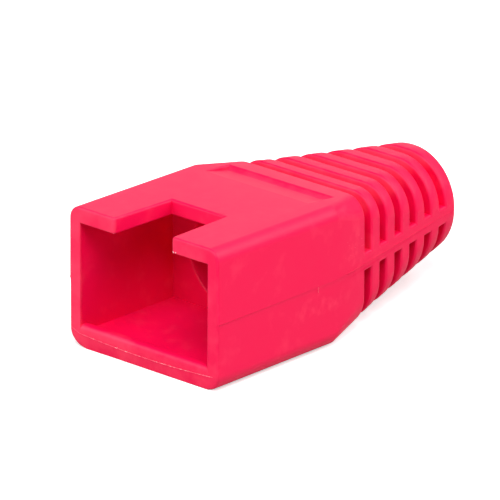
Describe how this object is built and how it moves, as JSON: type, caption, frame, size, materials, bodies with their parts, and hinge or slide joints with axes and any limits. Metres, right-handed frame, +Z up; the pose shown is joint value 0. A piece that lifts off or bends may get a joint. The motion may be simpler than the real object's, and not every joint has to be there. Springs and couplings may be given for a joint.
{
  "type": "cable strain relief boot",
  "caption": "Moulded strain relief boot for a modular plug: an open plug socket with a latch notch in its top wall, a tapered slotted tail and a cable bore.",
  "frame": {"origin": "in the plane of the flat base, at the middle of the bounding footprint", "axes": "+Z up from the flat base, +Y from the plug socket to the cable end, X across the boot"},
  "size_m": [0.014, 0.0278, 0.0103],
  "materials": {
    "soft_plastic": "satin, pinkish red soft PVC"
  },
  "bodies": {
    "root": {"strain_relief_boot": "soft_plastic"}
  },
  "joints": []
}
